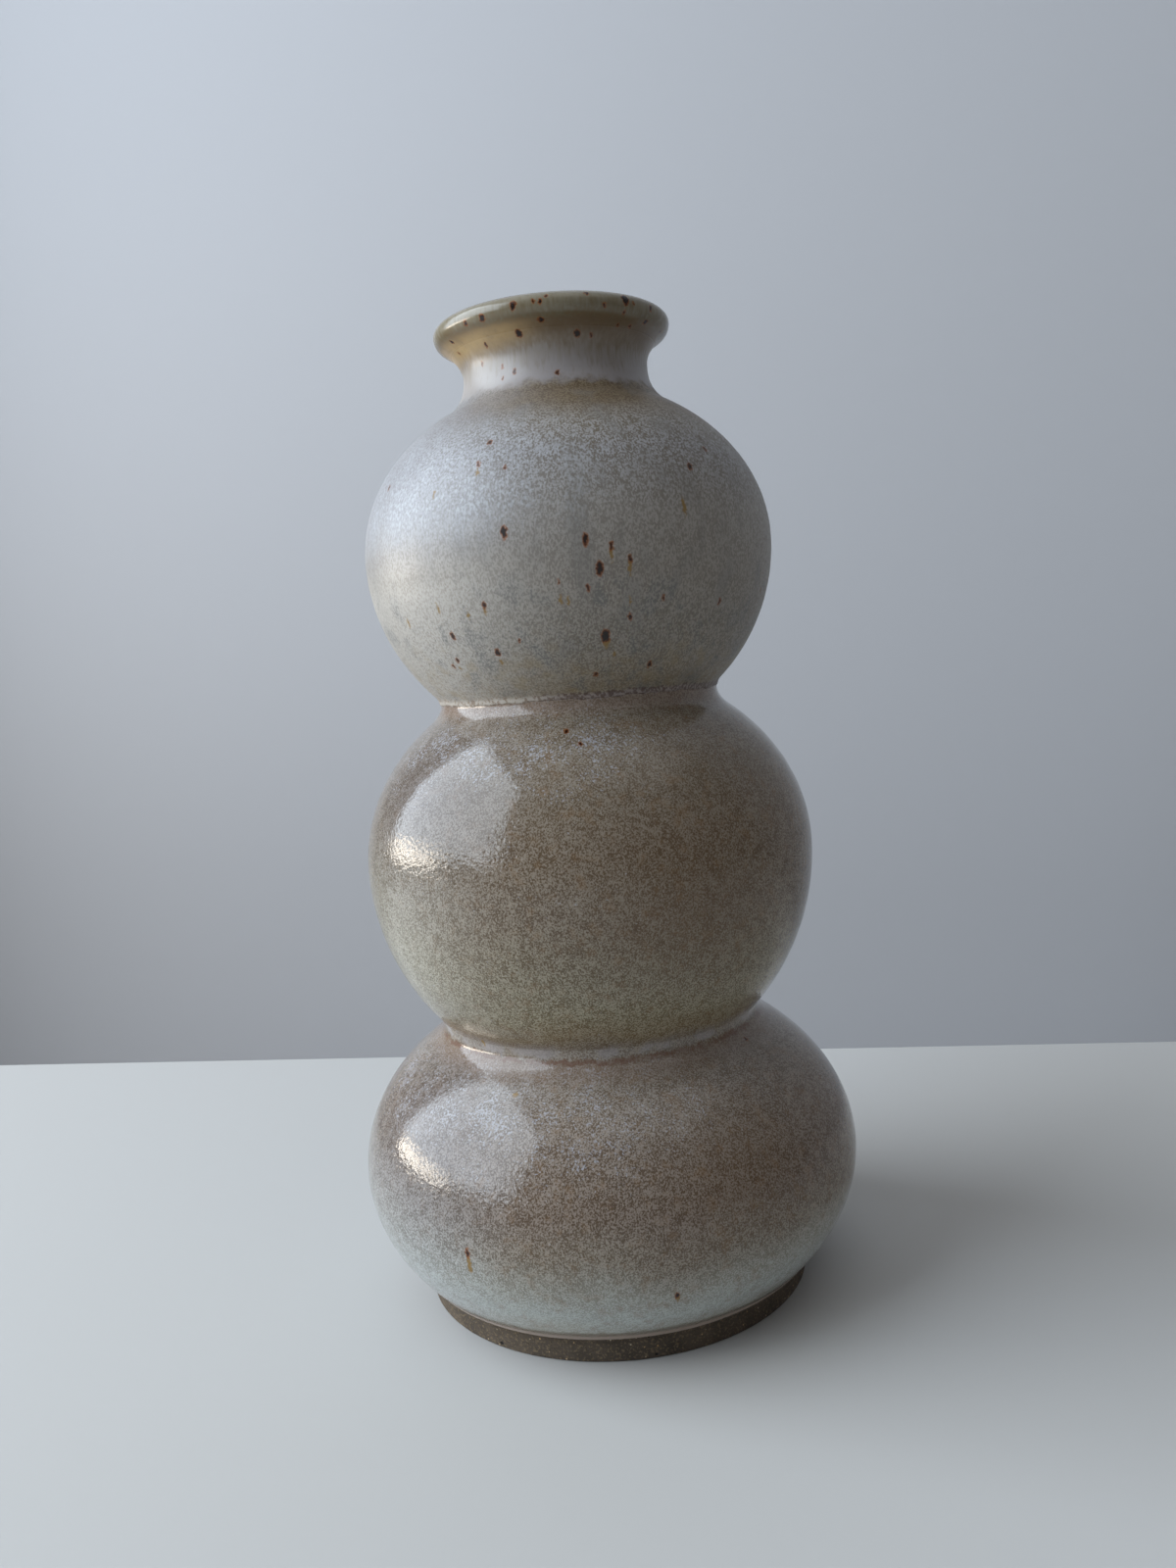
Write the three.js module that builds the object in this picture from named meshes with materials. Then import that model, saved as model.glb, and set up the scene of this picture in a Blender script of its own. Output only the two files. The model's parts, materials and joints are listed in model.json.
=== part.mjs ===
// A stoneware vase of three stacked bulbs under a short neck with a flared, rolled lip.
// It is thrown in sections that step into each other and are stuck together with slip. It stands on a
// turned foot ring of bare clay, and wears two outer glaze coats and a liner coat inside.
// Millimetres, +Z up, with the foot's underside at Z = 0 and the vase's axis on Z.

import * as THREE from 'three';

// Outside of the glazed vase, as heights stacked from the foot up and radii from the axis
const FOOT_BAND_HEIGHT = 7.4;
const LOWER_BULB_RISE = 30.6;
const LOWER_BULB_RADIUS = 73.2;
const LOWER_BULB_SHOULDER = 40.6;
const LOWER_CREASE_RADIUS = 47.3;
const MIDDLE_BULB_RISE = 48.8;
const MIDDLE_BULB_RADIUS = 65.2;
const MIDDLE_BULB_SHOULDER = 44.9;
const UPPER_CREASE_RADIUS = 40.6;
const UPPER_BULB_RISE = 42.2;
const UPPER_BULB_RADIUS = 58.2;
const UPPER_BULB_SHOULDER = 42.4;
const NECK_RADIUS = 26.2;
const NECK_FILLET = 12;
const NECK_LENGTH = 0.8;
const CREASE_FILLET = 3;

// Flare and rolled lip
const FLARE_RADIUS = 8.6;
const LIP_OVERHANG = 6.9;
const LIP_NOSE_RADIUS = 3.9;
const LIP_CREST_INSET = 6;
const LIP_CREST_RISE = 3.6;
const MOUTH_ROLL_DEPTH = 10;

// Clay walls, floor and foot
const WALL_THICKNESS = 5;
const FLOOR_THICKNESS = 9;
const FLOOR_CORNER_RADIUS = 12;
const FOOT_INSET = 16.4;
const FOOT_STEP = 0.6;
const FOOT_RING_WIDTH = 9.5;
const FOOT_CHAMFER = 0.8;
const BOSS_DEPTH = 2.5;

// Slip seams, the stepped joints, and the glaze coats
const SEAM_THICKNESS = 0.8;
const SPIGOT_HEIGHT = 3;
const FIT_GAP = 0.3;
const COAT_THICKNESS = 0.7;
const COAT_GAP = 0.3;
const GLAZE_COVER = 0.6;
const LINER_DROP = 4;

// How finely the round forms are divided
const TURN_SEGMENTS = 28;
const HALF_BULB_STEPS = 5;
const NECK_STEPS = 3;
const CURVE_STEPS = 3;
const SLOPE_STEP = 0.01;
const SEARCH_STEPS = 60;

// Heights where the outline turns
const glazeLine = FOOT_BAND_HEIGHT;
const lowerEquator = glazeLine + LOWER_BULB_RISE;
const lowerCrossing = lowerEquator + LOWER_BULB_SHOULDER;
const middleEquator = lowerCrossing + MIDDLE_BULB_RISE;
const upperCrossing = middleEquator + MIDDLE_BULB_SHOULDER;
const upperEquator = upperCrossing + UPPER_BULB_RISE;
const neckBase = upperEquator + UPPER_BULB_SHOULDER;

// What lies under the finished outside
const clayDepth = COAT_THICKNESS + COAT_GAP;
const fullDepth = WALL_THICKNESS + 2 * clayDepth;
const footRadius = LOWER_BULB_RADIUS - FOOT_INSET;
const glazeEdgeRadius = footRadius + FOOT_STEP + clayDepth;
const boreRadius = NECK_RADIUS - fullDepth;

// Half the height of an ellipse that is widest at its equator and passes through an end
function semiHeight(widest, equator, end) {
  return Math.abs(end.height - equator) / Math.sqrt(1 - (end.radius / widest) ** 2);
}

// Radius of a bulb at a height: two half ellipses that share the widest circle, each drawn through one end
function bulb(widest, equator, lowEnd, highEnd) {
  const below = semiHeight(widest, equator, lowEnd);
  const above = semiHeight(widest, equator, highEnd);
  return (height) => {
    const rise = height - equator;
    const share = rise / (rise < 0 ? below : above);
    return widest * Math.sqrt(Math.max(0, 1 - share ** 2));
  };
}

// The larger of two radii, with a fillet where they are nearly equal
const BLEND_WIDTH = 4 * CREASE_FILLET;
function filletedMax(first, second) {
  const closeness = Math.max(BLEND_WIDTH - Math.abs(first - second), 0) / BLEND_WIDTH;
  return Math.max(first, second) + closeness ** 2 * CREASE_FILLET;
}

const glazeEdge = { height: glazeLine, radius: glazeEdgeRadius };
const lowerCrossingEnd = { height: lowerCrossing, radius: LOWER_CREASE_RADIUS - CREASE_FILLET };
const upperCrossingEnd = { height: upperCrossing, radius: UPPER_CREASE_RADIUS - CREASE_FILLET };
const neckEnd = { height: neckBase, radius: NECK_RADIUS };
const lowerRadius = bulb(LOWER_BULB_RADIUS, lowerEquator, glazeEdge, lowerCrossingEnd);
const middleRadius = bulb(MIDDLE_BULB_RADIUS, middleEquator, lowerCrossingEnd, upperCrossingEnd);
const upperRadius = bulb(UPPER_BULB_RADIUS, upperEquator, upperCrossingEnd, neckEnd);

// An arc of the neck's fillet radius that touches the upper bulb from outside, at an angle of its upper ellipse
const shoulderSemiHeight = semiHeight(UPPER_BULB_RADIUS, upperEquator, neckEnd);
function arcTouchingBulb(angle) {
  const across = UPPER_BULB_RADIUS * Math.cos(angle);
  const touch = new THREE.Vector2(across, upperEquator + shoulderSemiHeight * Math.sin(angle));
  const outward = new THREE.Vector2(Math.cos(angle) / UPPER_BULB_RADIUS, Math.sin(angle) / shoulderSemiHeight);
  return { touch, centre: touch.clone().addScaledVector(outward.normalize(), NECK_FILLET) };
}

// The neck's fillet is the one of those arcs that also touches the upright neck
function neckFillet() {
  let low = 0;
  let high = Math.PI / 2;
  for (let step = 0; step < SEARCH_STEPS; step += 1) {
    const middle = (low + high) / 2;
    if (arcTouchingBulb(middle).centre.x > NECK_RADIUS + NECK_FILLET) {
      low = middle;
    } else {
      high = middle;
    }
  }
  return arcTouchingBulb(low);
}

const fillet = neckFillet();
const neckTop = fillet.centre.y + NECK_LENGTH;

// Finished outside radius from the glaze line to the top of the neck
function outsideRadius(height) {
  if (height > fillet.centre.y) {
    return NECK_RADIUS;
  }
  if (height > fillet.touch.y) {
    return fillet.centre.x - Math.sqrt(NECK_FILLET ** 2 - (fillet.centre.y - height) ** 2);
  }
  return filletedMax(filletedMax(lowerRadius(height), middleRadius(height)), upperRadius(height));
}

// Height of the bottom of the crease between two equators
function creaseHeight(low, high) {
  let bottom = low;
  let top = high;
  for (let step = 0; step < SEARCH_STEPS; step += 1) {
    const third = (top - bottom) / 3;
    if (outsideRadius(bottom + third) < outsideRadius(top - third)) {
      top -= third;
    } else {
      bottom += third;
    }
  }
  return (bottom + top) / 2;
}

const lowerCrease = creaseHeight(lowerEquator, middleEquator);
const upperCrease = creaseHeight(middleEquator, upperEquator);

// A station is a point of the finished surface in the half plane (radius, height), with the way out of the clay
function station(radius, height, outward) {
  return { point: new THREE.Vector2(radius, height), normal: outward.clone().normalize() };
}

function wallStation(height) {
  const rise = outsideRadius(height + SLOPE_STEP) - outsideRadius(height - SLOPE_STEP);
  return station(outsideRadius(height), height, new THREE.Vector2(2 * SLOPE_STEP, -rise));
}

// Shares from 0 to 1 in equal steps
function shares(steps) {
  return Array.from({ length: steps + 1 }, (unused, index) => index / steps);
}

// Stations of a half bulb, going up, closer together towards its end away from the equator
function risingHalf(low, equator) {
  const heights = shares(HALF_BULB_STEPS).map((share) => equator - (equator - low) * Math.cos(share * Math.PI / 2));
  return heights.map(wallStation);
}

function fallingHalf(equator, high) {
  const heights = shares(HALF_BULB_STEPS).map((share) => equator + (high - equator) * Math.sin(share * Math.PI / 2));
  return heights.map(wallStation);
}

const lowerWall = [...risingHalf(glazeLine, lowerEquator), ...fallingHalf(lowerEquator, lowerCrease).slice(1)];
const middleWall = [...risingHalf(lowerCrease, middleEquator), ...fallingHalf(middleEquator, upperCrease).slice(1)];
const upperWall = [...risingHalf(upperCrease, upperEquator), ...fallingHalf(upperEquator, neckBase).slice(1)];
const neckWall = shares(NECK_STEPS).map((share) => wallStation(neckBase + share * (neckTop - neckBase)));

// Stations along an ellipse or circle, from one angle to another. A hollow curve faces its centre.
function arc(centre, radii, fromAngle, toAngle, hollow) {
  return shares(CURVE_STEPS).map((share) => {
    const angle = fromAngle + share * (toAngle - fromAngle);
    const outward = new THREE.Vector2(Math.cos(angle) / radii.x, Math.sin(angle) / radii.y);
    const radius = centre.x + radii.x * Math.cos(angle);
    const height = centre.y + radii.y * Math.sin(angle);
    return station(radius, height, hollow ? outward.negate() : outward);
  });
}

// The flare is a hollow arc that leaves the neck upright and runs into the round nose of the lip
const lipRadius = NECK_RADIUS + LIP_OVERHANG;
const noseReach = lipRadius - LIP_NOSE_RADIUS - NECK_RADIUS - FLARE_RADIUS;
const noseRise = Math.sqrt((FLARE_RADIUS + LIP_NOSE_RADIUS) ** 2 - noseReach ** 2);
const noseAngle = Math.atan2(noseRise, noseReach);
const lipHeight = neckTop + noseRise;
const topHeight = lipHeight + LIP_CREST_RISE;
const crestRadius = lipRadius - LIP_CREST_INSET;
const rollBottom = topHeight - MOUTH_ROLL_DEPTH;
const linerLine = rollBottom - LINER_DROP;

const flareCentre = new THREE.Vector2(NECK_RADIUS + FLARE_RADIUS, neckTop);
const flareRadii = new THREE.Vector2(FLARE_RADIUS, FLARE_RADIUS);
const flare = arc(flareCentre, flareRadii, Math.PI, noseAngle, true);

const noseCentre = new THREE.Vector2(lipRadius - LIP_NOSE_RADIUS, lipHeight);
const noseRadii = new THREE.Vector2(LIP_NOSE_RADIUS, LIP_NOSE_RADIUS);
const nose = arc(noseCentre, noseRadii, noseAngle - Math.PI, 0, false);

const crestCentre = new THREE.Vector2(crestRadius, lipHeight);
const crestRadii = new THREE.Vector2(LIP_CREST_INSET, LIP_CREST_RISE);
const crest = arc(crestCentre, crestRadii, 0, Math.PI / 2, false);

const mouthCentre = new THREE.Vector2(crestRadius, rollBottom);
const mouthRadii = new THREE.Vector2(crestRadius - boreRadius, MOUTH_ROLL_DEPTH);
const mouth = arc(mouthCentre, mouthRadii, Math.PI / 2, Math.PI, false);

// Points of a layer that lies a depth below the finished surface
function layer(stations, depth) {
  return stations.map(({ point, normal }) => point.clone().addScaledVector(normal, -depth));
}

// Radius of a line of points at a height, going straight from point to point
function radiusAt(line, height) {
  const rising = line[0].y < line[line.length - 1].y ? line : [...line].reverse();
  const above = rising.findIndex((point) => point.y > height);
  if (above <= 0) {
    return above === 0 ? rising[0].x : rising[rising.length - 1].x;
  }
  const low = rising[above - 1];
  const high = rising[above];
  return low.x + (high.x - low.x) * (height - low.y) / (high.y - low.y);
}

// The stretch of a line of points between two heights, with its two ends on those heights
function stretch(line, startHeight, endHeight) {
  const low = Math.min(startHeight, endHeight);
  const high = Math.max(startHeight, endHeight);
  const inside = line.filter((point) => point.y > low && point.y < high);
  const start = new THREE.Vector2(radiusAt(line, startHeight), startHeight);
  const end = new THREE.Vector2(radiusAt(line, endHeight), endHeight);
  return [start, ...inside, end];
}

// Foot, seat of the lower bulb, and the floor
const footRingTop = glazeLine + GLAZE_COVER;
const bulbSeat = footRingTop + SEAM_THICKNESS;
const underside = bulbSeat - BOSS_DEPTH;
const footBore = footRadius - FOOT_RING_WIDTH;
const floorTop = underside + FLOOR_THICKNESS + clayDepth;
const cornerTop = floorTop + FLOOR_CORNER_RADIUS;

// The finished outside from the glaze line to the crest of the lip
const shoulderWalls = [...lowerWall, ...middleWall.slice(1), ...upperWall.slice(1)];
const throatWalls = [...shoulderWalls, ...neckWall.slice(1)];
const outside = [...throatWalls, ...flare.slice(1), ...nose.slice(1), ...crest.slice(1)];

// The finished inside from the crest of the lip down to the middle of the floor
function insideStation({ point, normal }) {
  const inner = point.clone().addScaledVector(normal, -fullDepth);
  return station(inner.x, inner.y, normal.clone().negate());
}

const innerWalls = throatWalls.map(insideStation).reverse();
const cornerRadius = radiusAt(innerWalls.map(({ point }) => point), cornerTop);
const cornerCentre = new THREE.Vector2(cornerRadius - FLOOR_CORNER_RADIUS, cornerTop);
const cornerRadii = new THREE.Vector2(FLOOR_CORNER_RADIUS, FLOOR_CORNER_RADIUS);
const corner = arc(cornerCentre, cornerRadii, 0, -Math.PI / 2, true);
const floorMiddle = station(0, floorTop, new THREE.Vector2(0, 1));
const linerEdge = station(boreRadius, linerLine, new THREE.Vector2(-1, 0));
const belowLinerLine = innerWalls.filter(({ point }) => point.y < linerLine && point.y > cornerTop);
const liner = [linerEdge, ...belowLinerLine, ...corner, floorMiddle];
const inside = [...mouth, ...liner];

const clayOutside = layer(outside, clayDepth);
const clayInside = layer(inside, clayDepth);

// A stepped joint: the lower section's spigot stands inside the upper section, which sits on slip outside it
function steppedJoint(height) {
  const lowerSeat = height - SEAM_THICKNESS / 2;
  const upperSeat = height + SEAM_THICKNESS / 2;
  const spigotTop = upperSeat + SPIGOT_HEIGHT;
  const widestInside = Math.max(radiusAt(clayInside, lowerSeat), radiusAt(clayInside, spigotTop));
  const narrowestOutside = Math.min(radiusAt(clayOutside, upperSeat), radiusAt(clayOutside, spigotTop));
  return { lowerSeat, upperSeat, spigotTop, spigotRadius: (widestInside + narrowestOutside) / 2 };
}

const lowerJoint = steppedJoint(lowerCrease);
const upperJoint = steppedJoint(upperCrease);
const neckJoint = steppedJoint(neckBase);

// Outlines of the ends of a thrown section, listed from the outside in
function spigotEnd(joint) {
  return [
    new THREE.Vector2(joint.spigotRadius, joint.lowerSeat),
    new THREE.Vector2(joint.spigotRadius, joint.spigotTop),
  ];
}

function socketEnd(joint) {
  return [
    new THREE.Vector2(joint.spigotRadius + FIT_GAP, joint.spigotTop + FIT_GAP),
    new THREE.Vector2(joint.spigotRadius + FIT_GAP, joint.upperSeat),
  ];
}

// A solid turned about the axis from an outline that starts and ends on the axis, or is closed here
function turned(name, outline, look) {
  const first = outline[0];
  const last = outline[outline.length - 1];
  const onAxis = first.x === 0 && last.x === 0;
  const profile = onAxis ? outline : [...outline, first.clone()];
  const geometry = new THREE.LatheGeometry(profile, TURN_SEGMENTS);
  geometry.rotateX(Math.PI / 2);
  const mesh = new THREE.Mesh(geometry, new THREE.MeshStandardMaterial(look));
  mesh.name = name;
  return mesh;
}

const bareClay = { color: 0x4b433b, roughness: 0.92, metalness: 0 };
const slip = { color: 0x6d6357, roughness: 0.95, metalness: 0 };
const thrownClay = { color: 0x5f5348, roughness: 0.9, metalness: 0 };
const glossGlaze = { color: 0x75695c, roughness: 0.18, metalness: 0 };
const satinGlaze = { color: 0xb9b9b4, roughness: 0.4, metalness: 0 };
const linerGlaze = { color: 0xa9a69b, roughness: 0.25, metalness: 0 };

function footRing() {
  const outline = [
    new THREE.Vector2(footBore + FOOT_CHAMFER, 0),
    new THREE.Vector2(footRadius - FOOT_CHAMFER, 0),
    new THREE.Vector2(footRadius, FOOT_CHAMFER),
    new THREE.Vector2(footRadius, footRingTop),
    new THREE.Vector2(footBore, footRingTop),
    new THREE.Vector2(footBore, FOOT_CHAMFER),
  ];
  return turned('foot_ring', outline, bareClay);
}

function footSeam() {
  const outline = [
    new THREE.Vector2(footBore, footRingTop),
    new THREE.Vector2(footRadius, footRingTop),
    new THREE.Vector2(footRadius, bulbSeat),
    new THREE.Vector2(footBore, bulbSeat),
  ];
  return turned('foot_seam', outline, slip);
}

// The ring of slip between the flat seats of a stepped joint
function creaseSeam(name, joint) {
  const innerRadius = joint.spigotRadius + FIT_GAP;
  const outline = [
    new THREE.Vector2(innerRadius, joint.lowerSeat),
    new THREE.Vector2(radiusAt(clayOutside, joint.lowerSeat), joint.lowerSeat),
    new THREE.Vector2(radiusAt(clayOutside, joint.upperSeat), joint.upperSeat),
    new THREE.Vector2(innerRadius, joint.upperSeat),
  ];
  return turned(name, outline, slip);
}

// The lower bulb is a cup: a floor with a boss that fits the foot ring's bore, and a wall up to the lower crease
function lowerBulb() {
  const bossRadius = footBore - FIT_GAP;
  const outline = [
    new THREE.Vector2(0, underside),
    new THREE.Vector2(bossRadius, underside),
    new THREE.Vector2(bossRadius, bulbSeat),
    ...stretch(clayOutside, bulbSeat, lowerJoint.lowerSeat),
    ...spigotEnd(lowerJoint),
    ...stretch(clayInside, lowerJoint.spigotTop, floorTop - clayDepth).slice(0, -1),
    ...layer([corner[CURVE_STEPS], floorMiddle], clayDepth),
  ];
  return turned('lower_bulb', outline, thrownClay);
}

// A thrown section between two joints, open at both ends
function openSection(name, jointBelow, jointAbove) {
  const outline = [
    ...stretch(clayOutside, jointBelow.upperSeat, jointAbove.lowerSeat),
    ...spigotEnd(jointAbove),
    ...stretch(clayInside, jointAbove.spigotTop, jointBelow.spigotTop + FIT_GAP),
    ...socketEnd(jointBelow),
  ];
  return turned(name, outline, thrownClay);
}

// The neck with its flare, rolled lip and mouth
function neckCollar() {
  const clayTop = topHeight - clayDepth;
  const outline = [
    ...stretch(clayOutside, neckJoint.upperSeat, clayTop),
    ...stretch(clayInside, clayTop, neckJoint.spigotTop + FIT_GAP).slice(1),
    ...socketEnd(neckJoint),
  ];
  return turned('neck_collar', outline, thrownClay);
}

// A glaze coat over a run of stations
function coat(name, stations, look) {
  const outline = [...layer(stations, COAT_THICKNESS).reverse(), ...layer(stations, 0)];
  return turned(name, outline, look);
}

const aboveUpperCrease = outside.filter(({ point }) => point.y > upperCrease);
const creaseEdge = middleWall[middleWall.length - 1];

const vase = new THREE.Group();
vase.add(
  footRing(),
  footSeam(),
  lowerBulb(),
  creaseSeam('lower_seam', lowerJoint),
  openSection('middle_bulb', lowerJoint, upperJoint),
  creaseSeam('upper_seam', upperJoint),
  openSection('upper_bulb', upperJoint, neckJoint),
  creaseSeam('neck_seam', neckJoint),
  neckCollar(),
  coat('gloss_glaze', [...lowerWall, ...middleWall.slice(1)], glossGlaze),
  coat('satin_glaze', [creaseEdge, ...aboveUpperCrease, ...mouth.slice(1), linerEdge], satinGlaze),
  coat('liner_glaze', liner, linerGlaze),
);

export default vase;
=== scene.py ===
"""A stoneware vase of three stacked bulbs in soft window light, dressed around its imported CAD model.

The glaze coats, the liner, the foot and the lower section are finely turned pieces with the unevenness of
hand work. All materials are procedural and read places on the vase. Sizes named in millimetres become metres
where a mesh or a node is made, in the CAD model's own frame.
"""

import json
import math

import bpy
import numpy as np
from mathutils import Matrix, Vector
from mathutils.bvhtree import BVHTree


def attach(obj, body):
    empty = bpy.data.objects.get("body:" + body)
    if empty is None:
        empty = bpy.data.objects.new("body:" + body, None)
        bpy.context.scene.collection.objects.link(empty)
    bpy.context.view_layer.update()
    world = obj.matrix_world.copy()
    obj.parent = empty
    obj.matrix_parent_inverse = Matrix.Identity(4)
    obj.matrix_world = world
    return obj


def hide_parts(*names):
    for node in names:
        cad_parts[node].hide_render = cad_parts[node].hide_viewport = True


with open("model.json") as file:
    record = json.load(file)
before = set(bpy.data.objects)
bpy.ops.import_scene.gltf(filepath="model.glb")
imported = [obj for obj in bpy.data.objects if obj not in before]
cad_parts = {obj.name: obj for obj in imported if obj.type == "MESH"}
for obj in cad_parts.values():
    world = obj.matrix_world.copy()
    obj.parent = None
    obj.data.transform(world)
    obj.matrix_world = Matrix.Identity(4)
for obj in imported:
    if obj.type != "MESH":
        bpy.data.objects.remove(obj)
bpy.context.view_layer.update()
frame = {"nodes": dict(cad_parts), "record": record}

MM = 0.001

# Outside of the glazed vase, as in the CAD model: heights stacked from the foot up, and radii
FOOT_BAND_HEIGHT = 7.4
LOWER_BULB_RISE = 30.6
LOWER_BULB_RADIUS = 73.2
LOWER_BULB_SHOULDER = 40.6
LOWER_CREASE_RADIUS = 47.3
MIDDLE_BULB_RISE = 48.8
MIDDLE_BULB_RADIUS = 65.2
MIDDLE_BULB_SHOULDER = 44.9
UPPER_CREASE_RADIUS = 40.6
UPPER_BULB_RISE = 42.2
UPPER_BULB_RADIUS = 58.2
UPPER_BULB_SHOULDER = 42.4
NECK_RADIUS = 26.2
NECK_FILLET = 12.0
NECK_LENGTH = 0.8
CREASE_FILLET = 3.0

# Flare and rolled lip
FLARE_RADIUS = 8.6
LIP_OVERHANG = 6.9
LIP_NOSE_RADIUS = 3.9
LIP_CREST_INSET = 6.0
LIP_CREST_RISE = 3.6
MOUTH_ROLL_DEPTH = 10.0

# Clay walls, floor and foot
WALL_THICKNESS = 5.0
FLOOR_THICKNESS = 9.0
FLOOR_CORNER_RADIUS = 12.0
FOOT_INSET = 16.4
FOOT_STEP = 0.6
FOOT_RING_WIDTH = 9.5
FOOT_CHAMFER = 0.8
BOSS_DEPTH = 2.5
FIT_GAP = 0.3
SEAM_THICKNESS = 0.8
GLAZE_COVER = 0.6
COAT_THICKNESS = 0.7
COAT_GAP = 0.3
LINER_DROP = 4.0

# How finely the turned pieces are divided
SEGMENTS = 320
OUTER_STEP = 0.9
INNER_STEP = 5.0
LINER_STEP = 1.6
CLAY_STEP = 3.0
FOOT_DIVISION = 0.3
CRISP_LENGTH = 0.1
CURVE_POINTS = 40
OUTLINE_POINTS = 4000
FILLET_POINTS = 20000

# Edges of the glaze coats
SATIN_EDGE_RISE = 1.1
COAT_OVERLAP = 1.6
TUCK_DEPTH = 0.3
SATIN_EDGE_ROLL = 0.55
GLOSS_EDGE_ROLL = 0.9
SATIN_EDGE_SWELL = 0.1
GLOSS_EDGE_SWELL = 0.28
EDGE_WAVE_REACH = 7.0

# Unevenness of hand work
OVAL = 0.1
THREE_SIDED = 0.06
THROWING_LINE = 0.025
THROWING_PITCH = 7.5
LEFT_LIP_SWELL = 0.7
FOOT_OVAL = 0.08
FOOT_TURNING_LINE = 0.05
FOOT_CHATTER = 0.04
UNDERSIDE_RINGS = 90
UNDERSIDE_EDGE = 1.2
UNDERSIDE_GROOVE = 0.12
UNDERSIDE_SCRATCH = 0.05

# The camera, fitted to the photograph's outline of the vase
IMAGE_WIDTH = 1200
IMAGE_HEIGHT = 1600
FOCAL_PIXELS = 1250.0
SENSOR_MM = 36.0
CAMERA_PLACE = Vector((0.0, -0.36081, 0.18579))
CAMERA_PITCH_DOWN = math.radians(6.13)
CAMERA_YAW = math.radians(0.13)
CAMERA_ROLL = math.radians(-4.13)
CAMERA_NEAR = 0.01

# The room
WALL_DISTANCE = 0.62
WALL_TURN = math.radians(30)
TABLE_BACK = 0.193
TABLE_TURN = math.radians(9.2)
TABLE_HEIGHT = 0.25
FLOOR_HALF_SIZE = 3.0
WALL_HALF_WIDTH = 1.2
WALL_HEIGHT = 2.4
TABLE_TONE = (188, 188, 187)
FLOOR_TONE = (160, 162, 165)
WALL_TONE = (152, 153, 157)
TABLE_ROUGHNESS = 0.7
WALL_ROUGHNESS = 0.8

# Panels of light: places and sizes in metres, and radiance with 1 for white paper in full light
TO_THE_RIGHT = (1, 0, 0)
DOWNWARD = (0, 0, -1)
WINDOW_PLACE = (-1.2, -0.25, 1.2)
WINDOW_SIZE = (1.75, 1.8)
WINDOW_RADIANCE = 5.4
WINDOW_COLOUR = (0.8, 0.9, 1.0)
SILL_PLACE = (-1.2, 0.16, 0.22)
SILL_SIZE = (0.75, 0.15)
SILL_RADIANCE = 14.0
SILL_COLOUR = (1.0, 0.92, 0.8)
CEILING_PLACE = (0.3, 0, 2.4)
CEILING_SIZE = (3.0, 3.0)
CEILING_RADIANCE = 0.45
CEILING_COLOUR = (1.0, 0.98, 0.94)
ROOM_COLOUR = (0.76, 0.75, 0.74, 1)
ROOM_STRENGTH = 0.24

# Ranges of turn about the axis, in degrees from +X to +Y
BACK = (4, 176)
ALL_ROUND = (0, 360)


# Heights where the outline turns, in millimetres
glaze_line = FOOT_BAND_HEIGHT
lower_equator = glaze_line + LOWER_BULB_RISE
lower_crossing = lower_equator + LOWER_BULB_SHOULDER
middle_equator = lower_crossing + MIDDLE_BULB_RISE
upper_crossing = middle_equator + MIDDLE_BULB_SHOULDER
upper_equator = upper_crossing + UPPER_BULB_RISE
neck_base = upper_equator + UPPER_BULB_SHOULDER

clay_depth = COAT_THICKNESS + COAT_GAP
full_depth = WALL_THICKNESS + 2 * clay_depth
foot_radius = LOWER_BULB_RADIUS - FOOT_INSET
glaze_edge_radius = foot_radius + FOOT_STEP + clay_depth
bore_radius = NECK_RADIUS - full_depth
foot_ring_top = glaze_line + GLAZE_COVER
bulb_seat = foot_ring_top + SEAM_THICKNESS
underside = bulb_seat - BOSS_DEPTH
foot_bore = foot_radius - FOOT_RING_WIDTH
floor_top = underside + FLOOR_THICKNESS + clay_depth


# The outline

def bulb_radius(height, widest, equator, low_end, high_end):
    """Radius of a bulb: two half ellipses that share the widest circle, each drawn through one end."""
    def semi_height(end):
        return abs(end[0] - equator) / math.sqrt(1 - (end[1] / widest) ** 2)

    rise = height - equator
    share = np.where(rise < 0, rise / semi_height(low_end), rise / semi_height(high_end))
    return widest * np.sqrt(np.maximum(0, 1 - share ** 2))


def arc(centre, radii, angles):
    """Points (radius, height) along a circle or an ellipse."""
    across = centre[0] + radii[0] * np.cos(angles)
    return np.column_stack([across, centre[1] + radii[1] * np.sin(angles)])


def curve(centre, radii, from_angle, to_angle):
    return arc(centre, radii, np.linspace(from_angle, to_angle, CURVE_POINTS))


def filleted_max(first, second):
    """The larger of two radii, with a fillet where they are nearly equal."""
    width = 4 * CREASE_FILLET
    closeness = np.maximum(width - np.abs(first - second), 0) / width
    return np.maximum(first, second) + closeness ** 2 * CREASE_FILLET


def neck_fillet():
    """Lower end's height and centre of the hollow arc that runs from the upper bulb into the upright neck."""
    semi_height = UPPER_BULB_SHOULDER / math.sqrt(1 - (NECK_RADIUS / UPPER_BULB_RADIUS) ** 2)
    angles = np.linspace(0, math.pi / 2, FILLET_POINTS)
    touching = arc((0, upper_equator), (UPPER_BULB_RADIUS, semi_height), angles)
    normals = np.column_stack([np.cos(angles) / UPPER_BULB_RADIUS, np.sin(angles) / semi_height])
    centres = touching + NECK_FILLET * normals / np.linalg.norm(normals, axis=1, keepdims=True)
    found = np.argmin(np.abs(centres[:, 0] - NECK_RADIUS - NECK_FILLET))
    return touching[found, 1], centres[found]


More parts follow.
